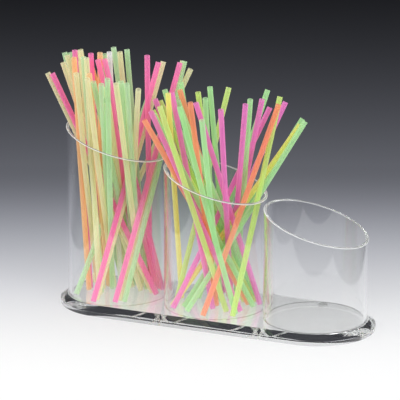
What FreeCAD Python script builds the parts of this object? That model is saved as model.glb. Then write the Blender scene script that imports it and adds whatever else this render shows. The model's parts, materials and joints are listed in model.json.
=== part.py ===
import FreeCAD, Part

import math
import os
import random

from Sketcher import Constraint

# Three-tube straw organiser in clear acrylic.
# +X runs along the row towards the lowest tube, +Y to the back, +Z up.
# The origin is on the standing surface, under the middle of the plate.

Vector = FreeCAD.Vector

# Driving dimensions, in millimetres and degrees: alias, value, meaning
DIMENSIONS = [
    ("tube_outer_radius", 50.8, "outside radius of each tube"),
    ("tube_wall", 3.175, "wall of each tube"),
    ("tube_gap", 3.7, "from one tube to the next"),
    ("middle_height", 126.4, "middle tube's height at its axis"),
    ("mouth_angle", 16.6, "slant of the mouths, which share one plane"),
    ("plate_flat_margin", 1.1, "flat top outside the tubes"),
    ("plate_bevel_run", 7.0, "width of the bevel, seen from above"),
    ("plate_bevel_drop", 5.0, "height of the bevel"),
    ("plate_thickness", 9.525, "thickness of the plate"),
    ("foot_radius", 4.75, "radius of a bumper foot"),
    ("foot_height", 1.6, "height of a bumper foot"),
    ("foot_bevel", 0.6, "bevelled lower edge of a foot"),
    ("foot_inset", 9.0, "from a foot's axis to the plate's long edge"),
    ("foot_setback", 10.3, "from an end tube's axis inwards to a foot's axis"),
    ("straw_radius", 2.7, "outside radius of a straw"),
    ("straw_wall", 0.3, "wall of a straw"),
    ("tall_straw_length", 245.0, "length of the straws in the tall tube"),
    ("middle_straw_length", 218.0, "length of the straws in the middle tube"),
    ("straw_gap", 0.35, "least gap from a straw to anything beside it"),
    ("floor_gap", 0.1, "from a straw's lowest point to the plate"),
    ("settling_slack", 0.05, "what settling adds to the gap between straws"),
    ("lean_turn", 23.5, "turn of the frame that the straws' leans are given in"),
]

# Sizes that follow from the driving ones: alias, formula, meaning
FORMULAS = [
    ("tube_spacing", "2 * tube_outer_radius + tube_gap", "from one tube's axis to the next"),
    ("bore_radius", "tube_outer_radius - tube_wall", "inside radius of each tube"),
    (
        "plate_radius",
        "tube_outer_radius + plate_flat_margin + plate_bevel_run",
        "radius of the plate's round ends at its lower edge",
    ),
    ("plate_top", "foot_height + plate_thickness", "height of the plate's flat top"),
    ("foot_offset_x", "tube_spacing - foot_setback", "from the middle of the plate to a foot"),
    ("foot_offset_y", "plate_radius - foot_inset", "from the row's middle line to a foot"),
]

# A fan is a spread of straws, from its first to its last. Each place is a share of the
# room in the bore: to the right, then to the back, in the frame turned by lean_turn.
# foot is where a straw stands, and mouth is where it passes the slanted mouth.
TALL_FANS = [
    # colours, foot from, foot to, mouth from, mouth to
    ("mint pink cream cream pink mint", (-0.75, -0.50), (0.10, -0.82), (0.66, 0.42), (0.95, 0.10)),
    ("cream cream cream mint cream mint cream", (0.80, 0.00), (0.30, 0.50), (-0.94, 0.05), (-0.58, 0.42)),
    ("pink cream pink peach mint", (-0.52, 0.20), (0.10, 0.68), (-0.66, 0.05), (-0.16, 0.12)),
    ("cream peach cream cream mint", (-0.42, 0.55), (0.14, 0.80), (-0.66, -0.70), (-0.18, -0.92)),
    ("mint cream mint cream mint", (0.00, 0.62), (0.48, 0.78), (0.02, -0.93), (0.52, -0.80)),
    ("cream mint", (0.34, 0.40), (0.50, 0.20), (0.16, 0.30), (0.34, 0.22)),
    ("mint pink", (0.56, 0.62), (0.26, 0.88), (-0.46, -0.82), (-0.16, -0.68)),
    ("pink pink peach mint", (0.92, 0.00), (0.66, 0.58), (-0.26, -0.20), (0.10, 0.30)),
    ("peach mint cream", (-0.58, 0.00), (-0.36, -0.20), (-0.80, -0.30), (-0.40, -0.45)),
]
MIDDLE_FANS = [
    ("green orange magenta lime green", (0.93, -0.15), (0.58, -0.62), (-0.93, -0.22), (-0.60, -0.72)),
    ("lime magenta green lime green magenta", (0.90, 0.22), (0.48, -0.30), (-0.92, 0.16), (-0.34, -0.10)),
    ("magenta green orange magenta green", (0.88, 0.10), (0.42, 0.45), (-0.40, -0.40), (0.18, -0.58)),
    ("yellow green magenta green", (-0.88, -0.10), (-0.50, 0.28), (0.92, 0.22), (0.70, 0.62)),
    ("magenta magenta green", (0.10, 0.80), (0.40, 0.70), (0.58, -0.05), (0.74, -0.10)),
    ("green green", (0.14, 0.38), (0.52, 0.52), (-0.42, 0.40), (-0.76, 0.50)),
    ("orange lime green", (0.66, 0.56), (0.22, 0.84), (-0.50, 0.10), (-0.08, 0.06)),
]

# A single straw has its own node: name, colour, foot and mouth
TALL_SINGLES = [
    ("tall_white_straw", "white", (0.10, 0.05), (-0.06, 0.02)),
    ("tall_upright_pink_straw", "pink", (0.56, 0.25), (0.60, -0.15)),
    ("tall_left_pink_straw", "pink", (0.86, -0.30), (-0.97, -0.12)),
    ("tall_right_cream_straw", "cream", (-0.62, 0.45), (0.94, 0.16)),
]
MIDDLE_SINGLES = [
    ("middle_upright_green_straw", "green", (0.26, 0.20), (-0.04, 0.34)),
    ("middle_front_orange_straw", "orange", (-0.26, -0.88), (0.73, -0.20)),
    ("middle_front_lime_straw", "lime", (0.31, -0.92), (0.95, -0.12)),
    ("middle_left_magenta_straw", "magenta", (-0.93, -0.34), (0.40, 0.22)),
    ("middle_back_lime_straw", "lime", (-0.93, 0.22), (-0.06, 0.46)),
    ("middle_right_green_straw", "green", (-0.78, -0.48), (0.96, -0.06)),
    ("middle_left_yellow_straw", "yellow", (-0.72, 0.36), (-0.92, 0.02)),
]

STRAW_SIDES = 12
LEAN_SEED = 5
LEAN_SCATTER = 0.05
SETTLING_ROUNDS = 400
SETTLING_STEP = 0.55
SINGLE_EASE = 0.35


def make_sheet(doc):
    """Puts the driving dimensions in a spreadsheet and reads them back by name."""
    sheet = doc.addObject("Spreadsheet::Sheet", "sizes")
    rows = [(alias, str(value), meaning) for alias, value, meaning in DIMENSIONS]
    rows += [(alias, f"={formula}", meaning) for alias, formula, meaning in FORMULAS]
    for row, (alias, content, meaning) in enumerate(rows, start=1):
        sheet.set(f"A{row}", alias)
        sheet.set(f"B{row}", content)
        sheet.set(f"C{row}", meaning)
        sheet.setAlias(f"B{row}", alias)
    doc.recompute()
    return {alias: float(getattr(sheet, alias)) for alias, _, _ in rows}


def origin_plane(body, role):
    """Finds one of a body's own origin planes."""
    return next(plane for plane in body.Origin.OriginFeatures if plane.Role == role)


def add_sketch(doc, body, name, role):
    sketch = body.newObject("Sketcher::SketchObject", name)
    sketch.AttachmentSupport = [(origin_plane(body, role), "")]
    sketch.MapMode = "FlatFace"
    return sketch


def top_edges(shape):
    """Names the edges of the highest flat face."""
    top = max(shape.Faces, key=lambda face: face.CenterOfMass.z)
    names = []
    for index, edge in enumerate(shape.Edges, start=1):
        if any(edge.isSame(other) for other in top.Edges):
            names.append(f"Edge{index}")
    return names


def make_base_plate(doc, size):
    """An obround plate: two round ends and two straight sides, padded and bevelled."""
    body = doc.addObject("PartDesign::Body", "base_plate")
    sketch = add_sketch(doc, body, "plate_outline", "XY_Plane")
    radius = size["plate_radius"]
    reach = size["tube_spacing"]
    right = Part.Arc(
        Part.Circle(Vector(reach, 0, 0), Vector(0, 0, 1), radius), -math.pi / 2, math.pi / 2
    )
    left = Part.Arc(
        Part.Circle(Vector(-reach, 0, 0), Vector(0, 0, 1), radius), math.pi / 2, 1.5 * math.pi
    )
    sketch.addGeometry(
        [
            right,
            Part.LineSegment(Vector(reach, radius, 0), Vector(-reach, radius, 0)),
            left,
            Part.LineSegment(Vector(-reach, -radius, 0), Vector(reach, -radius, 0)),
        ],
        False,
    )
    constrain_obround(sketch, radius, reach)
    pad = body.newObject("PartDesign::Pad", "plate_pad")
    pad.Profile = sketch
    pad.setExpression("Length", "sizes.plate_thickness")
    doc.recompute()
    bevel = body.newObject("PartDesign::Chamfer", "plate_bevel")
    bevel.Base = (pad, top_edges(pad.Shape))
    bevel.ChamferType = "Two distances"
    bevel.setExpression("Size", "sizes.plate_bevel_run")
    bevel.setExpression("Size2", "sizes.plate_bevel_drop")
    doc.recompute()
    top = max(bevel.Shape.Faces, key=lambda face: face.CenterOfMass.z)
    wanted = size["plate_radius"] - size["plate_bevel_run"]
    if abs(top.BoundBox.YMax - wanted) > size["plate_flat_margin"] / 2:
        bevel.FlipDirection = True
        doc.recompute()
    body.Placement.Base = Vector(0, 0, size["foot_height"])
    body.setExpression("Placement.Base.z", "sizes.foot_height")
    return body


def constrain_obround(sketch, radius, reach):
    """Joins arc, side, arc and side in a tangent ring, centred on the origin."""
    for first, second in ((0, 1), (1, 2), (2, 3), (3, 0)):
        sketch.addConstraint(Constraint("Tangent", first, 2, second, 1))
    sketch.addConstraint(Constraint("PointOnObject", 0, 3, -1))
    sketch.addConstraint(Constraint("Equal", 0, 2))
    sketch.addConstraint(Constraint("Symmetric", 2, 3, 0, 3, -1, 1))
    curve = sketch.addConstraint(Constraint("Radius", 0, radius))
    length = sketch.addConstraint(Constraint("DistanceX", -1, 1, 0, 3, reach))
    sketch.setExpression(f"Constraints[{curve}]", "sizes.plate_radius")
    sketch.setExpression(f"Constraints[{length}]", "sizes.tube_spacing")


def make_tube(doc, name, place):
    """A round tube on the plate, its mouth cut by the plane that all three share.

    place counts spacings along the row: -1 for the tall tube, 1 for the short one.
    """
    blank_height = "(sizes.middle_height + 2 * sizes.tube_spacing)"
    outside = doc.addObject("Part::Cylinder", f"{name}_outside")
    outside.setExpression("Radius", "sizes.tube_outer_radius")
    outside.setExpression("Height", blank_height)
    bore = doc.addObject("Part::Cylinder", f"{name}_bore")
    bore.setExpression("Radius", "sizes.bore_radius")
    bore.setExpression("Height", blank_height)
    blank = doc.addObject("Part::Cut", f"{name}_blank")
    blank.Base = outside
    blank.Tool = bore
    waste = doc.addObject("Part::Box", f"{name}_waste")
    for side in ("Length", "Width"):
        waste.setExpression(side, "6 * sizes.tube_outer_radius")
    waste.setExpression("Height", f"2 * {blank_height}")
    waste.Placement.Rotation = FreeCAD.Rotation(Vector(0, 1, 0), 1)
    waste.setExpression("Placement.Rotation.Angle", "sizes.mouth_angle")
    along = "3 * sizes.tube_outer_radius"
    rise = f"sizes.middle_height - {place} * sizes.tube_spacing * tan(sizes.mouth_angle)"
    waste.setExpression("Placement.Base.x", f"-{along} * cos(sizes.mouth_angle)")
    waste.setExpression("Placement.Base.y", f"-{along}")
    waste.setExpression("Placement.Base.z", f"{rise} + {along} * sin(sizes.mouth_angle)")
    tube = doc.addObject("Part::Cut", name)
    tube.Base = blank
    tube.Tool = waste
    tube.setExpression("Placement.Base.x", f"{place} * sizes.tube_spacing")
    tube.setExpression("Placement.Base.z", "sizes.plate_top")
    return tube


def make_foot(doc, name, side_x, side_y):
    """A clear bumper foot: a low disc with a bevelled lower edge."""
    disc = doc.addObject("Part::Cylinder", f"{name}_disc")
    disc.setExpression("Radius", "sizes.foot_radius")
    disc.setExpression("Height", "sizes.foot_height")
    doc.recompute()
    lower = min(range(len(disc.Shape.Edges)), key=lambda i: disc.Shape.Edges[i].CenterOfMass.z)
    bevel = float(doc.sizes.foot_bevel)
    foot = doc.addObject("Part::Chamfer", name)
    foot.Base = disc
    foot.Edges = [(lower + 1, bevel, bevel)]
    foot.setExpression("Placement.Base.x", f"{side_x} * sizes.foot_offset_x")
    foot.setExpression("Placement.Base.y", f"{side_y} * sizes.foot_offset_y")
    return foot


class Straw:
    """A straight straw: its foot on the plate, and its mouth point on the slanted mouth.

    Both are kept as offsets from the tube's axis. across runs along +X and depth along +Y.
    """

    def __init__(self, node, place, length, foot, mouth, ease=1.0):
        self.node = node
        self.place = place
        self.length = length
        self.foot = list(foot)
        self.mouth = list(mouth)
        self.ease = ease

    def rise(self, size):
        """The height of the mouth point above the plate."""
        slope = math.tan(math.radians(size["mouth_angle"]))
        along = self.place * size["tube_spacing"] + self.mouth[0]
        return size["middle_height"] - slope * along

    def axis(self, size):
        """The straw's lower end and its direction, with the plate's top at zero."""
        base = self.place * size["tube_spacing"]
        lean = Vector(
            self.mouth[0] - self.foot[0], self.mouth[1] - self.foot[1], self.rise(size)
        )
        lean.normalize()
        sine = math.sqrt(max(0.0, 1.0 - lean.z**2))
        low = size["straw_radius"] * sine + size["floor_gap"]
        return Vector(base + self.foot[0], self.foot[1], low), lean

    def shift(self, share, move):
        """Moves the point at this share of the way to the mouth, with the least turning."""
        spread = (1.0 - share) ** 2 + share**2
        for i in (0, 1):
            self.foot[i] += self.ease * move[i] * (1.0 - share) / spread
            self.mouth[i] += self.ease * move[i] * share / spread

    def keep_inside(self, room):
        for point in (self.foot, self.mouth):
            reach = math.hypot(point[0], point[1])
            if reach > room:
                point[0] *= room / reach
                point[1] *= room / reach

    def keep_beside(self, neighbour, size):
        """Holds the length above the mouth out of the space above a neighbour's bore.

        A bunch can then be lifted straight out without meeting the one beside it.
        """
        low, lean = self.axis(size)
        rise = self.rise(size)
        top = (low.z + lean.z * self.length) / rise
        away = (self.place - neighbour) * size["tube_spacing"]
        run = (self.mouth[0] - self.foot[0], self.mouth[1] - self.foot[1])
        start = (away + self.foot[0], self.foot[1])
        nearest_share = -(start[0] * run[0] + start[1] * run[1]) / (run[0] ** 2 + run[1] ** 2)
        share = min(max(nearest_share, 1.0), top)
        point = (start[0] + run[0] * share, start[1] + run[1] * share)
        reach = math.hypot(point[0], point[1])
        short = size["bore_radius"] + size["straw_radius"] + size["straw_gap"] - reach
        if short <= 0:
            return False
        push = SETTLING_STEP * (short + size["settling_slack"]) / self.ease
        self.shift(share, (point[0] / reach * push, point[1] / reach * push))
        return True


def bore_room(size):
    """How far from a tube's axis a straw's own axis may stand."""
    steepest = math.radians(35.0)
    return size["bore_radius"] - size["straw_radius"] / math.cos(steepest) - size["straw_gap"]


def turned(place, size):
    """A share of the room, given to the right and to the back, as an offset in X and Y."""
    turn = math.radians(size["lean_turn"])
    room = bore_room(size)
    right, back = place
    return (
        room * (right * math.cos(turn) - back * math.sin(turn)),
        room * (right * math.sin(turn) + back * math.cos(turn)),
    )


def between(start, end, share, scatter):
    return [a + (b - a) * share + scatter.uniform(-1, 1) * LEAN_SCATTER for a, b in zip(start, end)]


def fan_straws(fans, tube, place, length, size, scatter):
    """The straws of a tube's fans, each in the node of its colour."""
    straws = []
    for colours, foot_from, foot_to, mouth_from, mouth_to in fans:
        names = colours.split()
        for index, colour in enumerate(names):
            share = index / max(1, len(names) - 1)
            foot = between(foot_from, foot_to, share, scatter)
            mouth = between(mouth_from, mouth_to, share, scatter)
            node = f"{tube}_{colour}_straws"
            straws.append(Straw(node, place, length, turned(foot, size), turned(mouth, size)))
    return straws


def single_straws(singles, place, length, size):
    return [
        Straw(name, place, length, turned(foot, size), turned(mouth, size), SINGLE_EASE)
        for name, _, foot, mouth in singles
    ]


def nearest(first, second):
    """The nearest points of two straight lengths: how far along each, and the vector across."""
    (p, u, a), (q, v, b) = first, second
    w = q - p
    d = u.dot(v)
    e = u.dot(w)
    f = v.dot(w)
    even = 1.0 - d * d
    along = (e - d * f) / even if even > 1e-9 else 0.5 * a
    along = min(max(along, 0.0), a)
    other = min(max(d * along - f, 0.0), b)
    along = min(max(d * other + e, 0.0), a)
    return along, other, (q + v * other) - (p + u * along)


def from_above(line):
    """A straw's line laid flat, and how much shorter it is that way."""
    low, lean, length = line
    flat = Vector(lean.x, lean.y, 0)
    shorter = max(flat.Length, 1e-6)
    return (Vector(low.x, low.y, 0), flat / shorter, length * shorter), shorter


def meeting(first, second, together):
    """The nearest points of two straws, as nearest gives them.

    Straws of two tubes are compared from above, so that either bunch lifts out freely.
    """
    if together:
        return nearest(first, second)
    first_flat, first_shorter = from_above(first)
    second_flat, second_shorter = from_above(second)
    along, other, across = nearest(first_flat, second_flat)
    return along / first_shorter, other / second_shorter, across


def settle(straws, size):
    """Nudges crossing straws apart until each has its gap, inside the tube's bore.

    Where straws of two tubes cross, those of the higher tube go behind.
    """
    apart = 2 * size["straw_radius"] + size["straw_gap"]
    room = bore_room(size)
    filled = sorted({straw.place for straw in straws})
    turn = math.radians(size["lean_turn"])
    front = Vector(math.sin(turn), -math.cos(turn), 0)
    for straw in straws:
        straw.keep_inside(room)
    for _ in range(SETTLING_ROUNDS):
        touching = 0
        for straw in straws:
            for neighbour in filled:
                if neighbour != straw.place:
                    touching += straw.keep_beside(neighbour, size)
            straw.keep_inside(room)
        lines = [(*straw.axis(size), straw.length) for straw in straws]
        for i in range(len(straws)):
            for j in range(i):
                step = straws[j].place - straws[i].place
                along, other, across = meeting(lines[i], lines[j], step == 0)
                if across.Length >= apart:
                    continue
                touching += 1
                flat = Vector(across.x, across.y, 0)
                if flat.Length < 1e-6:
                    flat = front * step if step else Vector(lines[i][1].y, -lines[i][1].x, 0)
                flat.normalize()
                push = SETTLING_STEP * (apart + size["settling_slack"] - across.Length)
                rise_i = straws[i].rise(size)
                rise_j = straws[j].rise(size)
                share_i = (lines[i][0].z + lines[i][1].z * along) / rise_i
                share_j = (lines[j][0].z + lines[j][1].z * other) / rise_j
                straws[i].shift(share_i, (-flat.x * push, -flat.y * push))
                straws[j].shift(share_j, (flat.x * push, flat.y * push))
                straws[i].keep_inside(room)
                straws[j].keep_inside(room)
                lines[i] = (*straws[i].axis(size), straws[i].length)
                lines[j] = (*straws[j].axis(size), straws[j].length)
        if not touching:
            break
    return drop_crowded(straws, size)


def drop_crowded(straws, size):
    """Leaves out a straw that found no room, as when the tubes are made narrower."""
    apart = 2 * size["straw_radius"] + size["floor_gap"]
    kept = []
    for straw in straws:
        line = (*straw.axis(size), straw.length)
        others = [(*other.axis(size), other.length) for other in kept]
        if all(nearest(line, other)[2].Length >= apart for other in others):
            kept.append(straw)
    return kept


def all_straws(size):
    """Every straw in both filled tubes, settled clear of the others."""
    scatter = random.Random(LEAN_SEED)
    long = size["tall_straw_length"]
    short = size["middle_straw_length"]
    straws = single_straws(TALL_SINGLES, -1, long, size)
    straws += single_straws(MIDDLE_SINGLES, 0, short, size)
    straws += fan_straws(TALL_FANS, "tall", -1, long, size, scatter)
    straws += fan_straws(MIDDLE_FANS, "middle", 0, short, size, scatter)
    return settle(straws, size)


def make_straw_blank(doc, name, length_alias):
    """One hollow straw, upright on the origin, which the placed straws repeat.

    Its round wall is a prism of few sides, because there are many straws.
    """
    outside = doc.addObject("Part::Prism", f"{name}_outside")
    outside.setExpression("Circumradius", "sizes.straw_radius")
    inside = doc.addObject("Part::Prism", f"{name}_inside")
    inside.setExpression("Circumradius", "sizes.straw_radius - sizes.straw_wall")
    for prism in (outside, inside):
        prism.Polygon = STRAW_SIDES
        prism.setExpression("Height", f"sizes.{length_alias}")
    blank = doc.addObject("Part::Cut", name)
    blank.Base = outside
    blank.Tool = inside
    return blank


def make_straw_nodes(doc, straws, size):
    """One object for each single straw, and one for each colour in each tube."""
    blanks = {
        -1: make_straw_blank(doc, "tall_straw_blank", "tall_straw_length"),
        0: make_straw_blank(doc, "middle_straw_blank", "middle_straw_length"),
    }
    doc.recompute()
    placed = {}
    for straw in straws:
        low, lean = straw.axis(size)
        solid = blanks[straw.place].Shape.copy()
        turn = FreeCAD.Rotation(Vector(0, 0, 1), lean)
        solid.Placement = FreeCAD.Placement(low + Vector(0, 0, size["plate_top"]), turn)
        placed.setdefault(straw.node, []).append(solid)
    nodes = []
    for name, solids in placed.items():
        node = doc.addObject("Part::Feature", name)
        node.Shape = Part.makeCompound(solids) if len(solids) > 1 else solids[0]
        nodes.append(node)
    return nodes


def check(doc, nodes):
    for item in doc.Objects:
        if "Invalid" in item.State or "Error" in item.State:
            raise RuntimeError(f"{item.Name} failed: {item.State}")
    for node in nodes:
        if node.Shape.isNull() or not node.Shape.isValid():
            raise RuntimeError(f"{node.Label} has no valid shape")


def build():
    doc = FreeCAD.newDocument("straw_organiser")
    size = make_sheet(doc)
    nodes = [make_base_plate(doc, size)]
    for name, place in (("tall_tube", -1), ("middle_tube", 0), ("short_tube", 1)):
        nodes.append(make_tube(doc, name, place))
    for end, side_x in (("left", -1), ("right", 1)):
        for side, side_y in (("front", -1), ("back", 1)):
            nodes.append(make_foot(doc, f"foot_{side}_{end}", side_x, side_y))
    straws = all_straws(size)
    nodes += make_straw_nodes(doc, straws, size)
    doc.recompute()
    for node in nodes:
        node.Label = node.Name
    check(doc, nodes)
    os.makedirs("parts", exist_ok=True)
    for node in nodes:
        node.Shape.exportStep(f"parts/{node.Label}.step")
    print(f"{len(nodes)} nodes, {len(straws)} straws")
    return doc, size, straws


DOCUMENT, SIZES, STRAWS = build()
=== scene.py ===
import json
import math
import random

import bmesh
import bpy
from mathutils import Matrix, Vector


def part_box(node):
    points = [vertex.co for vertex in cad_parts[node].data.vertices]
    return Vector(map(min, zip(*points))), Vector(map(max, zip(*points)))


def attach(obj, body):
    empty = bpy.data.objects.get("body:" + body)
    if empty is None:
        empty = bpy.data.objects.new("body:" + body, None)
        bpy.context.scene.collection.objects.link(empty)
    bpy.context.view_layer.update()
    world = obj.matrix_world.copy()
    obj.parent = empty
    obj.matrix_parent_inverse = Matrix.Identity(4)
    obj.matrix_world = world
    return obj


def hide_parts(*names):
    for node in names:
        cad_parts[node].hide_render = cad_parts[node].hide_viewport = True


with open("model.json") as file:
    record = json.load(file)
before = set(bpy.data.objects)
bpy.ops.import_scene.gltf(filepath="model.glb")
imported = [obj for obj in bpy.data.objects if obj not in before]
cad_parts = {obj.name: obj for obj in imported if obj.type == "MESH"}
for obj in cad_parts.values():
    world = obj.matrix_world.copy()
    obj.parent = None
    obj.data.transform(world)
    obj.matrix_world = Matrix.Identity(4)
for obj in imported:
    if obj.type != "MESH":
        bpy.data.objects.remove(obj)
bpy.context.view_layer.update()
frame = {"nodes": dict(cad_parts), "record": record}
scene = bpy.context.scene

# The holder's sizes, in metres
TUBE_RADIUS = 0.0508
TUBE_WALL = 0.003175
TUBE_ARRIS = 0.0005
TUBE_STEPS = 144
BOND_GAP = 0.00003
MOUTH_SLOPE = math.tan(math.radians(16.6))
PLATE_RADIUS = 0.0589
PLATE_BEVEL_RUN = 0.007
PLATE_BEVEL_DROP = 0.005
PLATE_ARRIS = 0.00025
PLATE_END_STEPS = 72
FOOT_STEPS = 40
FOOT_ROUND_SHARE = 0.4
FOOT_ROUND_STEPS = 6

# A tube's materials by band of its profile: 0 is the clear wall, 1 the cut face (inner
# arris, mouth and bonded foot), and 2 the outer arris
TUBE_BANDS = (0, 1, 1, 2, 0, 1)

# A straw's sizes, in metres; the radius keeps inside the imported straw's corners
STRAW_RADIUS = 0.00265
STRAW_WALL = 0.0003
STRAW_STEPS = 20
STRAW_SPANS = 4
WELD_DISTANCE = 1e-6
NEARLY_UPRIGHT = 1e-4

# Edges that turn by more than these degrees stay sharp
TUBE_SHARP = 20.0
PLATE_SHARP = 6.0
ROUND_SHARP = 40.0

# Acrylic: its colour, what lamps shine through it as, and its draw lines
PLASTIC_IOR = 1.49
TUBE_TINT = (0.997, 0.999, 0.999, 1.0)
TUBE_PASS = (0.985, 0.99, 0.99, 1.0)
TUBE_GRAIN = 60.0
TUBE_STRETCH = (1.0, 1.0, 0.04)
PLATE_TINT = (0.994, 0.998, 0.996, 1.0)
PLATE_PASS = (0.98, 0.985, 0.982, 1.0)
PLATE_GRAIN = 45.0
PLATE_STRETCH = (0.3, 1.0, 1.0)
HAND_MARKS = 38.0
HAND_MARKS_FROM = 0.45
HAND_MARKS_TO = 0.8
HAND_MARKS_ROUGH = 0.03

# The cement under the tubes, mottled from thin to white
BOND_COLOUR = (0.93, 0.93, 0.92, 1.0)
BOND_MOTTLE = 160.0
BOND_MOTTLE_FROM = 0.35
BOND_MOTTLE_TO = 0.65
BOND_THIN = 0.4
BOND_WHITENESS = 0.95

# The cut mouths: how much of the light each part scatters, and its colours; the whiteness is
# partly a frosted cut and partly painted light, standing in for the light the wall carries up
# to its edge, brightest along the outer arris
FACE_WHITENESS_AND_GLOW = 0.28
ARRIS_WHITENESS_AND_GLOW = 0.96
CUT_MARKS = 900.0
CUT_DARK = (0.84, 0.86, 0.86, 1.0)
CUT_PALE = (0.98, 0.98, 0.98, 1.0)
CUT_GLOW = 0.4
CUT_POLISHED_ROUGH = 0.12

# The soft feet
BUMPER_IOR = 1.43
BUMPER_CLEAR = 0.6
BUMPER_MOTTLE = 700.0
BUMPER_DARK = (0.86, 0.87, 0.86, 1.0)
BUMPER_PALE = (0.95, 0.95, 0.94, 1.0)

# The straws' own colours, pale because they deepen as light passes several walls
STRAW_COLOURS = {
    "cream": (246, 245, 216),
    "mint": (222, 244, 214),
    "pink": (254, 178, 222),
    "peach": (255, 228, 188),
    "white": (248, 249, 249),
    "green": (214, 246, 204),
    "lime": (232, 248, 180),
    "magenta": (250, 176, 230),
    "orange": (255, 202, 172),
    "yellow": (252, 249, 176),
}
STRAW_DEEPER = 1.1
STRAW_PALER = 0.2
STRAW_THINNER = 0.3
STRAW_GLOW = 0.45
STRAW_COVER_FACING = 0.32
STRAW_COVER_EDGE = 0.92
# The share of the lamps' light that a wall lets on, to the straws behind
STRAW_FORWARD = 0.72
# Streaks run along a straw, and each straw has a tone of its own
GRAIN_AROUND = 900.0
GRAIN_ALONG = 22.0
GRAIN_OFFSET = 400.0
TONE_SEED = 11
TONE_REACH = 0.5
TONE_SHARE = 0.55
TONE_FROM = 0.1
TONE_TO = 0.95

# The camera, fitted to the mouths, the tubes' sides and the plate's outline
CAMERA_TARGET = Vector((-0.01667, 0.0, 0.1157))
CAMERA_DISTANCE = 2.307
CAMERA_AZIMUTH = math.radians(23.529)
CAMERA_PITCH = math.radians(15.715)
CAMERA_LENS = 211.95
CAMERA_SENSOR = 36.0
CAMERA_FAR = 60.0
# Level, from the camera towards the object
AWAY = Vector((-math.sin(CAMERA_AZIMUTH), math.cos(CAMERA_AZIMUTH), 0.0))

# The floor is a white table that ends beside and before the object; beyond those edges the
# paper is painted the dark room's colour as painted shade: the tubes' walls mirror those
# edges as grey arched patches
FLOOR_HALF = 6.0
TABLE_TURN = math.radians(-7.0)
TABLE_FRONT = 0.296
TABLE_RIGHT = 0.312
TABLE_LEFT = 0.345
EDGE_BLUR = 0.008
SIDES_FADE_FROM = 0.12
SIDES_FADE_TO = 0.30
PAINTED_ROOM_SHADE = (64, 65, 70)
# Painted shade: behind the object the paper's colour darkens smoothly, and then halves with
# each further length, standing in for the light falling off there
FALLOFF_SHADE_FROM = -0.20
FALLOFF_SHADE_TO = 0.57
FALLOFF_SHADE_DARK = 0.14
FALLOFF_SHADE_HALVES = 0.35
FALLOFF_SHADE_TINT = (0.82, 0.85, 1.0, 1.0)
PAPER_WHITE = 0.95
PAPER_GLOW = 0.6
PAPER_ROUGH = 0.9

# The world lights the object palely, and shows a dark studio where it is looked at
AMBIENT_STRENGTH = 0.72
AMBIENT_COLOUR = (0.97, 0.98, 1.0, 1.0)
ROOM_COLOUR = (46, 47, 53)
LIGHT_AIM = (0.0, 0.0, 0.1)
# Name, place, width, depth, watts, and whether glass and gloss show it
LIGHTS = (
    ("left_softbox", (-1.5, -1.5, 1.7), 1.4, 1.0, 14.0, True),
    ("right_softbox", (1.9, -0.7, 1.6), 1.0, 1.2, 10.0, True),
    ("left_fill", (-1.2, -2.1, 0.9), 1.4, 1.0, 20.0, False),
    ("right_fill", (2.0, -1.3, 0.9), 1.4, 1.0, 20.0, False),
)
# Light crosses many walls here, so paths may be long
BOUNCES = 64

# Sockets of the colour mix node, which has a set for each kind of data
MIX_SHARE = 0
MIX_FIRST = 6
MIX_SECOND = 7
MIX_RESULT = 2


def linear(colour):
    """Turns an 8 bit display colour into the linear one that shaders take."""
    values = []
    for channel in colour:
        value = channel / 255
        values.append(value / 12.92 if value <= 0.04045 else ((value + 0.055) / 1.055) ** 2.4)
    return (*values, 1.0)


def new_object(name, mesh):
    piece = bpy.data.objects.new(name, mesh)
    scene.collection.objects.link(piece)
    return piece


def finish_mesh(mesh, sharp_degrees):
    """Turns all faces outwards, and shades smooth over edges that turn by less."""
    bm = bmesh.new()
    bm.from_mesh(mesh)
    bmesh.ops.recalc_face_normals(bm, faces=bm.faces)
    bm.to_mesh(mesh)
    bm.free()
    for polygon in mesh.polygons:
        polygon.use_smooth = True
    mesh.set_sharp_from_angle(angle=math.radians(sharp_degrees))
    mesh.update()


def loft(name, rings, closed, sharp_degrees):
    """Joins rings of points with faces; closed joins the last ring to the first too."""
    count = len(rings[0])
    verts = [point for ring in rings for point in ring]
    faces = []
    last = len(rings) if closed else len(rings) - 1
    for k in range(last):
        lower = k * count
        upper = (k + 1) % len(rings) * count
        for i in range(count):
            j = (i + 1) % count
            faces.append((lower + i, lower + j, upper + j, upper + i))
    if not closed:
        faces.append(tuple(range(count))[::-1])
        faces.append(tuple(range((len(rings) - 1) * count, len(rings) * count)))
    mesh = bpy.data.meshes.new(name)
    mesh.from_pydata(verts, [], faces)
    finish_mesh(mesh, sharp_degrees)
    return new_object(name, mesh)


def place_piece(piece, node, body):
    """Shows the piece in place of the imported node, riding on the node's body."""
    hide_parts(node)
    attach(piece, body)


# Shader helpers: a value is a number, a colour or another node's output


def feed(tree, value, socket):
    """Links an output to the socket, or sets the socket to a number or colour."""
    if isinstance(value, bpy.types.NodeSocket):
        tree.links.new(value, socket)
    else:
        socket.default_value = value


def add(tree, kind, **values):
    """Adds a node; values set its properties, or feed its inputs by name."""
    node = tree.nodes.new(kind)
    for key, value in values.items():
        if hasattr(node, key):
            setattr(node, key, value)
        else:
            feed(tree, value, node.inputs[key.replace("_", " ")])
    return node


def math_node(tree, operation, *values):
    node = add(tree, "ShaderNodeMath", operation=operation)
    for socket, value in zip(node.inputs, values):
        feed(tree, value, socket)
    return node.outputs[0]


def map_range(tree, value, start, end, low, high, interpolation="LINEAR"):
    """Maps start to end onto low to high, and holds it there."""
    node = add(
        tree,
        "ShaderNodeMapRange",
        interpolation_type=interpolation,
        Value=value,
        From_Min=start,
        From_Max=end,
        To_Min=low,
        To_Max=high,
    )
    return node.outputs["Result"]


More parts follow.
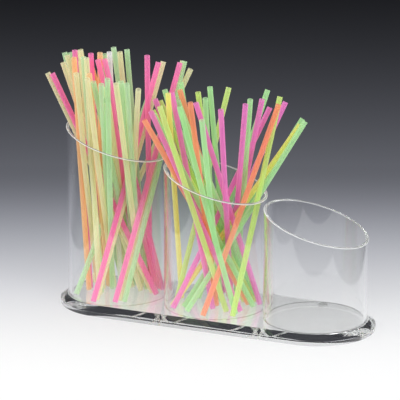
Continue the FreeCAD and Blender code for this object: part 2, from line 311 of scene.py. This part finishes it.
def mix_colours(tree, share, first, second):
    node = add(tree, "ShaderNodeMix", data_type="RGBA")
    feed(tree, share, node.inputs[MIX_SHARE])
    feed(tree, first, node.inputs[MIX_FIRST])
    feed(tree, second, node.inputs[MIX_SECOND])
    return node.outputs[MIX_RESULT]


def mix_shaders(tree, share, first, second):
    node = add(tree, "ShaderNodeMixShader")
    for socket, value in zip(node.inputs, (share, first.outputs[0], second.outputs[0])):
        feed(tree, value, socket)
    return node


def noise(tree, vector, scale, detail):
    node = add(tree, "ShaderNodeTexNoise", Vector=vector, Scale=scale, Detail=detail)
    return node.outputs["Fac"]


def object_place(tree):
    return add(tree, "ShaderNodeTexCoord").outputs["Object"]


def looked_at(tree):
    """One where a look meets it, also by mirror or through glass, and zero for lighting."""
    path = add(tree, "ShaderNodeLightPath")
    seen = math_node(
        tree, "MAXIMUM", path.outputs["Is Camera Ray"], path.outputs["Is Glossy Ray"]
    )
    seen = math_node(tree, "MAXIMUM", seen, path.outputs["Is Transmission Ray"])
    return math_node(tree, "GREATER_THAN", seen, path.outputs["Is Diffuse Ray"])


def new_material(name):
    material = bpy.data.materials.new(name)
    material.use_nodes = True
    material.node_tree.nodes.clear()
    return material, material.node_tree


def set_surface(tree, shader):
    add(tree, "ShaderNodeOutputMaterial", Surface=shader.outputs[0])


# The materials


def clear_acrylic(name, tint, pass_colour, grain_scale, stretch):
    """Polished acrylic: faint draw lines and hand marks, and lamps shine through it."""
    material, tree = new_material(name)
    place = object_place(tree)
    spread = add(tree, "ShaderNodeMapping", Vector=place, Scale=stretch)
    lines = noise(tree, spread.outputs["Vector"], grain_scale, 2.0)
    marks = noise(tree, place, HAND_MARKS, 4.0)
    rough = map_range(tree, marks, HAND_MARKS_FROM, HAND_MARKS_TO, 0.0, HAND_MARKS_ROUGH)
    bump = add(tree, "ShaderNodeBump", Strength=0.02, Distance=0.0002, Height=lines)
    solid = add(
        tree,
        "ShaderNodeBsdfPrincipled",
        Base_Color=tint,
        IOR=PLASTIC_IOR,
        Transmission_Weight=1.0,
        Roughness=rough,
        Normal=bump.outputs["Normal"],
    )
    through = add(tree, "ShaderNodeBsdfTransparent", Color=pass_colour)
    path = add(tree, "ShaderNodeLightPath")
    lamp_ray = math_node(
        tree, "MAXIMUM", path.outputs["Is Shadow Ray"], path.outputs["Is Diffuse Ray"]
    )
    set_surface(tree, mix_shaders(tree, lamp_ray, solid, through))
    return material


def bond_mask(tree, position, spacing, top):
    """One where a tube's wall is bonded to the plate's top, by distance from its axis."""
    split = add(tree, "ShaderNodeSeparateXYZ", Vector=position)
    across, along, height = split.outputs
    turns = math_node(tree, "ROUND", math_node(tree, "DIVIDE", across, spacing))
    local = math_node(tree, "SUBTRACT", across, math_node(tree, "MULTIPLY", turns, spacing))
    squares = math_node(
        tree,
        "ADD",
        math_node(tree, "MULTIPLY", local, local),
        math_node(tree, "MULTIPLY", along, along),
    )
    wall_middle = TUBE_RADIUS - TUBE_WALL / 2
    from_axis = math_node(tree, "SQRT", squares)
    off_middle = math_node(
        tree, "ABSOLUTE", math_node(tree, "SUBTRACT", from_axis, wall_middle)
    )
    on_ring = math_node(tree, "LESS_THAN", off_middle, TUBE_WALL / 2)
    on_top = math_node(tree, "GREATER_THAN", height, top)
    return math_node(tree, "MULTIPLY", on_ring, on_top)


def add_bonds(material, spacing, top):
    """Lays the whitish, mottled cement of each bond on the plate's top."""
    tree = material.node_tree
    out = next(node for node in tree.nodes if node.bl_idname == "ShaderNodeOutputMaterial")
    clear = out.inputs["Surface"].links[0].from_node
    place = object_place(tree)
    cement = add(tree, "ShaderNodeBsdfDiffuse", Color=BOND_COLOUR)
    mottle = map_range(
        tree,
        noise(tree, place, BOND_MOTTLE, 3.0),
        BOND_MOTTLE_FROM,
        BOND_MOTTLE_TO,
        BOND_THIN,
        BOND_WHITENESS,
    )
    share = math_node(tree, "MULTIPLY", bond_mask(tree, place, spacing, top), mottle)
    feed(tree, mix_shaders(tree, share, clear, cement).outputs[0], out.inputs["Surface"])


def straw_plastic(name, colour):
    """Thin translucent plastic: drawn streaks, a tone for each straw, denser at its edges."""
    material, tree = new_material(name)
    grain = add(tree, "ShaderNodeAttribute", attribute_name="grain")
    streaks = noise(tree, grain.outputs["Vector"], 1.0, 3.0)
    tone = add(tree, "ShaderNodeAttribute", attribute_name="tone")
    lift = math_node(tree, "MULTIPLY_ADD", tone.outputs["Fac"], TONE_SHARE, streaks)
    deep = tuple(c**STRAW_DEEPER for c in colour[:3]) + (1.0,)
    pale = tuple(c + (1.0 - c) * STRAW_PALER for c in colour[:3]) + (1.0,)
    thin = tuple(c**STRAW_THINNER for c in colour[:3]) + (1.0,)
    shade = mix_colours(tree, map_range(tree, lift, TONE_FROM, TONE_TO, 0.0, 1.0), deep, pale)
    bump = add(tree, "ShaderNodeBump", Strength=0.12, Distance=0.00005, Height=streaks)
    skin = add(
        tree,
        "ShaderNodeBsdfPrincipled",
        Base_Color=shade,
        IOR=PLASTIC_IOR,
        Roughness=map_range(tree, streaks, 0.0, 1.0, 0.28, 0.46),
        Normal=bump.outputs["Normal"],
    )
    glow = add(tree, "ShaderNodeBsdfTranslucent", Color=shade)
    body = mix_shaders(tree, STRAW_GLOW, skin, glow)
    facing = add(tree, "ShaderNodeLayerWeight", Blend=0.4)
    cover = map_range(
        tree, facing.outputs["Facing"], 0.0, 1.0, STRAW_COVER_FACING, STRAW_COVER_EDGE
    )
    path = add(tree, "ShaderNodeLightPath")
    held_share = math_node(
        tree, "MULTIPLY_ADD", path.outputs["Is Shadow Ray"], -STRAW_FORWARD, 1.0
    )
    held = math_node(tree, "MULTIPLY", cover, held_share)
    passed = add(tree, "ShaderNodeBsdfTransparent", Color=thin)
    set_surface(tree, mix_shaders(tree, held, passed, body))
    return material


def cut_edge(name, whiteness):
    """A sawn and flamed edge of acrylic: whitish and satin, with fine saw marks; the
    whiteness is partly that frosted cut and partly painted light, standing in for the light
    the wall carries up to its edge.
    """
    material, tree = new_material(name)
    marks = noise(tree, object_place(tree), CUT_MARKS, 3.0)
    tint = mix_colours(tree, marks, CUT_DARK, CUT_PALE)
    satin = add(
        tree,
        "ShaderNodeBsdfPrincipled",
        Base_Color=tint,
        IOR=PLASTIC_IOR,
        Roughness=map_range(tree, marks, 0.0, 1.0, 0.3, 0.5),
    )
    glow = add(tree, "ShaderNodeBsdfTranslucent", Color=tint)
    polished = add(
        tree,
        "ShaderNodeBsdfPrincipled",
        Base_Color=tint,
        IOR=PLASTIC_IOR,
        Roughness=CUT_POLISHED_ROUGH,
        Transmission_Weight=1.0,
    )
    # Partly painted light: the whitish satin stands in for light the wall carries up to the
    # cut edge, on top of the frosted cut
    white = mix_shaders(tree, CUT_GLOW, satin, glow)
    set_surface(tree, mix_shaders(tree, whiteness, polished, white))
    return material


def soft_bumper(name):
    """Clear soft feet: slightly milky, with a faint mottle."""
    material, tree = new_material(name)
    mottle = noise(tree, object_place(tree), BUMPER_MOTTLE, 3.0)
    rubber = add(
        tree,
        "ShaderNodeBsdfPrincipled",
        Base_Color=mix_colours(tree, mottle, BUMPER_DARK, BUMPER_PALE),
        IOR=BUMPER_IOR,
        Roughness=map_range(tree, mottle, 0.0, 1.0, 0.16, 0.32),
        Transmission_Weight=BUMPER_CLEAR,
    )
    set_surface(tree, rubber)
    return material


# The holder's pieces


def circle_point(centre_x, radius, angle, z):
    return (centre_x + radius * math.cos(angle), radius * math.sin(angle), z)


def make_tube(node, materials):
    """A tube with its slanted mouth, and a fine arris inside and out."""
    low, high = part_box(node)
    centre_x = (low.x + high.x) / 2
    axis_top = high.z - TUBE_RADIUS * MOUTH_SLOPE
    bottom = low.z + BOND_GAP
    inner = TUBE_RADIUS - TUBE_WALL
    # Radius and drop below the mouth, from the inside at the foot round to the outside
    profile = [
        (inner, None),
        (inner, -TUBE_ARRIS),
        (inner + TUBE_ARRIS, 0.0),
        (TUBE_RADIUS - TUBE_ARRIS, 0.0),
        (TUBE_RADIUS, -TUBE_ARRIS),
        (TUBE_RADIUS, None),
    ]
    rings = []
    for radius, drop in profile:
        ring = []
        for i in range(TUBE_STEPS):
            angle = 2 * math.pi * i / TUBE_STEPS
            mouth = axis_top - MOUTH_SLOPE * radius * math.cos(angle)
            z = bottom if drop is None else mouth + drop
            ring.append(circle_point(centre_x, radius, angle, z))
        rings.append(ring)
    piece = loft(f"{node}_clear", rings, True, TUBE_SHARP)
    for material in materials:
        piece.data.materials.append(material)
    for polygon in piece.data.polygons:
        polygon.material_index = TUBE_BANDS[polygon.index // TUBE_STEPS]
    place_piece(piece, node, "holder")


def obround_ring(reach, radius, z):
    ring = []
    for centre_x, start in ((reach, -math.pi / 2), (-reach, math.pi / 2)):
        for i in range(PLATE_END_STEPS + 1):
            angle = start + math.pi * i / PLATE_END_STEPS
            ring.append(circle_point(centre_x, radius, angle, z))
    return ring


def make_plate(node, material):
    """The obround plate: upright lower edge, polished bevel and flat top."""
    low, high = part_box(node)
    reach = (high.x - low.x) / 2 - PLATE_RADIUS
    shoulder = high.z - PLATE_BEVEL_DROP
    bevel_share = PLATE_ARRIS / PLATE_BEVEL_RUN
    profile = [
        (PLATE_ARRIS, low.z),
        (0.0, low.z + PLATE_ARRIS),
        (0.0, shoulder - PLATE_ARRIS),
        (PLATE_ARRIS, shoulder + bevel_share * PLATE_BEVEL_DROP),
        (PLATE_BEVEL_RUN - PLATE_ARRIS, high.z - bevel_share * PLATE_BEVEL_DROP),
        (PLATE_BEVEL_RUN + PLATE_ARRIS, high.z),
    ]
    rings = [obround_ring(reach, PLATE_RADIUS - inset, z) for inset, z in profile]
    piece = loft(f"{node}_clear", rings, False, PLATE_SHARP)
    piece.data.materials.append(material)
    place_piece(piece, node, "holder")


def make_foot(node, material):
    """A bumper foot: a low disc that rounds in to its standing face."""
    low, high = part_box(node)
    centre = (low + high) / 2
    radius = (high.x - low.x) / 2
    round_over = FOOT_ROUND_SHARE * (high.z - low.z)
    profile = [(radius - round_over, low.z)]
    for i in range(1, FOOT_ROUND_STEPS):
        turn = math.pi / 2 * i / FOOT_ROUND_STEPS
        inset = round_over * (1.0 - math.sin(turn))
        profile.append((radius - inset, low.z + round_over * (1.0 - math.cos(turn))))
    profile.append((radius, low.z + round_over))
    profile.append((radius, high.z - BOND_GAP))
    rings = []
    for ring_radius, z in profile:
        ring = []
        for i in range(FOOT_STEPS):
            angle = 2 * math.pi * i / FOOT_STEPS
            x, y, _ = circle_point(centre.x, ring_radius, angle, z)
            ring.append((x, centre.y + y, z))
        rings.append(ring)
    piece = loft(f"{node}_bumper", rings, False, ROUND_SHARP)
    piece.data.materials.append(material)
    place_piece(piece, node, "holder")


# The straws


def straw_lines(node):
    """The lower and upper ends of each straw's axis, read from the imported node."""
    bm = bmesh.new()
    bm.from_mesh(frame["nodes"][node].data)
    bmesh.ops.remove_doubles(bm, verts=bm.verts, dist=WELD_DISTANCE)
    bm.verts.ensure_lookup_table()
    seen = set()
    lines = []
    for first in bm.verts:
        if first.index in seen:
            continue
        seen.add(first.index)
        waiting = [first]
        solid = []
        while waiting:
            vert = waiting.pop()
            solid.append(vert.co.copy())
            for edge in vert.link_edges:
                other = edge.other_vert(vert)
                if other.index not in seen:
                    seen.add(other.index)
                    waiting.append(other)
        middle = sum(solid, Vector()) / len(solid)
        upper = [point for point in solid if point.z > middle.z]
        lower = [point for point in solid if point.z <= middle.z]
        lines.append((sum(lower, Vector()) / len(lower), sum(upper, Vector()) / len(upper)))
    bm.free()
    return lines


def make_straws(node, material, body, tones):
    """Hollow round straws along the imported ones' axes, as one piece."""
    verts = []
    faces = []
    grains = []
    shades = []
    for low, high in straw_lines(node):
        axis = (high - low).normalized()
        side = axis.cross(Vector((0.0, 0.0, 1.0)))
        if side.length < NEARLY_UPRIGHT:
            side = Vector((1.0, 0.0, 0.0))
        side.normalize()
        across = axis.cross(side)
        turn_from = tones.uniform(0.0, 2.0 * math.pi)
        offset = tones.uniform(0.0, GRAIN_OFFSET)
        tone = tones.uniform(-TONE_REACH, TONE_REACH)
        length = (high - low).length
        start = len(verts)
        spans = [length * k / STRAW_SPANS for k in range(STRAW_SPANS + 1)]
        loops = [(STRAW_RADIUS, along) for along in spans]
        loops += [(STRAW_RADIUS - STRAW_WALL, along) for along in reversed(spans)]
        for radius, along in loops:
            for i in range(STRAW_STEPS):
                angle = turn_from + 2 * math.pi * i / STRAW_STEPS
                reach = side * math.cos(angle) + across * math.sin(angle)
                verts.append(low + axis * along + reach * radius)
                grains.append(
                    (
                        GRAIN_AROUND * STRAW_RADIUS * math.cos(angle) + offset,
                        GRAIN_AROUND * STRAW_RADIUS * math.sin(angle),
                        GRAIN_ALONG * along + offset,
                    )
                )
                shades.append(tone)
        for k in range(len(loops)):
            lower = start + k * STRAW_STEPS
            upper = start + (k + 1) % len(loops) * STRAW_STEPS
            for i in range(STRAW_STEPS):
                j = (i + 1) % STRAW_STEPS
                faces.append((lower + i, lower + j, upper + j, upper + i))
    mesh = bpy.data.meshes.new(node)
    mesh.from_pydata([tuple(v) for v in verts], [], faces)
    grain = mesh.attributes.new("grain", "FLOAT_VECTOR", "POINT")
    grain.data.foreach_set("vector", [value for row in grains for value in row])
    shade = mesh.attributes.new("tone", "FLOAT", "POINT")
    shade.data.foreach_set("value", shades)
    finish_mesh(mesh, ROUND_SHARP)
    piece = new_object(f"{node}_round", mesh)
    piece.data.materials.append(material)
    place_piece(piece, node, body)


tube_materials = (
    clear_acrylic("tube_acrylic", TUBE_TINT, TUBE_PASS, TUBE_GRAIN, TUBE_STRETCH),
    cut_edge("mouth_face", FACE_WHITENESS_AND_GLOW),
    cut_edge("mouth_arris", ARRIS_WHITENESS_AND_GLOW),
)
plate_material = clear_acrylic(
    "bonded_acrylic", PLATE_TINT, PLATE_PASS, PLATE_GRAIN, PLATE_STRETCH
)
add_bonds(
    plate_material,
    spacing=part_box("short_tube")[1].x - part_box("middle_tube")[1].x,
    top=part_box("base_plate")[1].z - BOND_GAP,
)
bumper = soft_bumper("bumper")
for tube_node in ("tall_tube", "middle_tube", "short_tube"):
    make_tube(tube_node, tube_materials)
make_plate("base_plate", plate_material)
for foot_node in ("foot_front_left", "foot_front_right", "foot_back_left", "foot_back_right"):
    make_foot(foot_node, bumper)

plastics = {
    name: straw_plastic(f"{name}_plastic", linear(colour))
    for name, colour in STRAW_COLOURS.items()
}
tone_draws = random.Random(TONE_SEED)
for body_name, members in frame["record"]["behaviour"]["bodies"].items():
    if body_name == "holder":
        continue
    for straw_node in members:
        colour_name = next(name for name in STRAW_COLOURS if name in straw_node.split("_"))
        make_straws(
            straw_node, plastics[colour_name], body_name, tone_draws
        )


# The studio


def make_floor():
    """White around the object, with painted shade that darkens the paper behind it where the
    light falls off, and the unlit room's dark painted beyond the table's edges.
    """
    corners = [
        (x * FLOOR_HALF, y * FLOOR_HALF, 0.0) for x, y in ((-1, -1), (1, -1), (1, 1), (-1, 1))
    ]
    mesh = bpy.data.meshes.new("floor")
    mesh.from_pydata(corners, [], [(0, 1, 2, 3)])
    floor = new_object("floor", mesh)
    material, tree = new_material("floor_paper")
    place = add(tree, "ShaderNodeNewGeometry").outputs["Position"]

    def distance_along(direction, centre):
        dot = add(tree, "ShaderNodeVectorMath", operation="DOT_PRODUCT")
        feed(tree, place, dot.inputs[0])
        feed(tree, direction, dot.inputs[1])
        return math_node(tree, "SUBTRACT", dot.outputs["Value"], centre)

    def smooth(value, start, end, low, high):
        return map_range(tree, value, start, end, low, high, "SMOOTHSTEP")

    def past_edge(direction, reach):
        past = distance_along(direction, 0.0)
        return smooth(past, reach - EDGE_BLUR, reach + EDGE_BLUR, 0.0, 1.0)

    # Painted shade: the paper's colour darkens behind the object, and halves with each
    # further length, as the light falls off
    behind = distance_along(AWAY, CAMERA_TARGET.dot(AWAY))
    near_painted_shade = smooth(behind, FALLOFF_SHADE_FROM, FALLOFF_SHADE_TO, 1.0, FALLOFF_SHADE_DARK)
    beyond = math_node(
        tree, "MAXIMUM", math_node(tree, "SUBTRACT", behind, FALLOFF_SHADE_TO), 0.0
    )
    far_painted_shade = math_node(
        tree, "POWER", 0.5, math_node(tree, "DIVIDE", beyond, FALLOFF_SHADE_HALVES)
    )
    tone = math_node(tree, "MULTIPLY", near_painted_shade, far_painted_shade)
    white = (PAPER_WHITE, PAPER_WHITE, PAPER_WHITE, 1.0)
    graded = add(tree, "ShaderNodeVectorMath", operation="SCALE", Scale=tone)
    feed(tree, mix_colours(tree, tone, FALLOFF_SHADE_TINT, white), graded.inputs[0])

    # Painted shade: past the table's front and side edges the paper is painted the dark
    # colour of the unlit room
    table_front = Matrix.Rotation(TABLE_TURN, 3, "Z") @ -AWAY
    table_right = Matrix.Rotation(math.pi / 2, 3, "Z") @ table_front
    sides = math_node(
        tree,
        "MAXIMUM",
        past_edge(table_right, TABLE_RIGHT),
        past_edge(-table_right, TABLE_LEFT),
    )
    fade = smooth(behind, SIDES_FADE_FROM, SIDES_FADE_TO, 1.0, 0.0)
    shade = math_node(
        tree,
        "MAXIMUM",
        past_edge(table_front, TABLE_FRONT),
        math_node(tree, "MULTIPLY", sides, fade),
    )
    colour = mix_colours(tree, shade, graded.outputs[0], linear(PAINTED_ROOM_SHADE))
    paper = add(
        tree,
        "ShaderNodeBsdfPrincipled",
        Base_Color=colour,
        Roughness=PAPER_ROUGH,
        Specular_IOR_Level=0.0,
    )
    glow = add(tree, "ShaderNodeEmission", Color=colour, Strength=1.0)
    shown = math_node(tree, "MULTIPLY", looked_at(tree), PAPER_GLOW)
    set_surface(tree, mix_shaders(tree, shown, paper, glow))
    mesh.materials.append(material)


def make_world():
    """Pale ambient light, with the dark studio shown where it is looked at."""
    world = bpy.data.worlds.new("studio")
    scene.world = world
    world.use_nodes = True
    tree = world.node_tree
    tree.nodes.clear()
    ambient = add(
        tree, "ShaderNodeBackground", Color=AMBIENT_COLOUR, Strength=AMBIENT_STRENGTH
    )
    room = add(tree, "ShaderNodeBackground", Color=linear(ROOM_COLOUR), Strength=1.0)
    sky = mix_shaders(tree, looked_at(tree), ambient, room)
    add(tree, "ShaderNodeOutputWorld", Surface=sky.outputs[0])


def make_light(name, place, width, depth, power, shown):
    data = bpy.data.lights.new(name, "AREA")
    data.shape = "RECTANGLE"
    data.size = width
    data.size_y = depth
    data.energy = power
    lamp = new_object(name, data)
    lamp.location = place
    aim = Vector(LIGHT_AIM) - Vector(place)
    lamp.rotation_euler = aim.to_track_quat("-Z", "Y").to_euler()
    lamp.visible_glossy = shown
    lamp.visible_transmission = shown


def make_camera():
    data = bpy.data.cameras.new("camera")
    data.lens = CAMERA_LENS
    data.sensor_width = CAMERA_SENSOR
    data.clip_end = CAMERA_FAR
    camera = new_object("camera", data)
    level = -AWAY * math.cos(CAMERA_PITCH)
    back = level + Vector((0.0, 0.0, math.sin(CAMERA_PITCH)))
    camera.location = CAMERA_TARGET + back * CAMERA_DISTANCE
    camera.rotation_euler = back.to_track_quat("Z", "Y").to_euler()
    scene.camera = camera


make_floor()
make_world()
for light in LIGHTS:
    make_light(*light)
make_camera()
scene.view_settings.view_transform = "Standard"
scene.cycles.max_bounces = BOUNCES
scene.cycles.glossy_bounces = BOUNCES
scene.cycles.transmission_bounces = BOUNCES
scene.cycles.transparent_max_bounces = BOUNCES
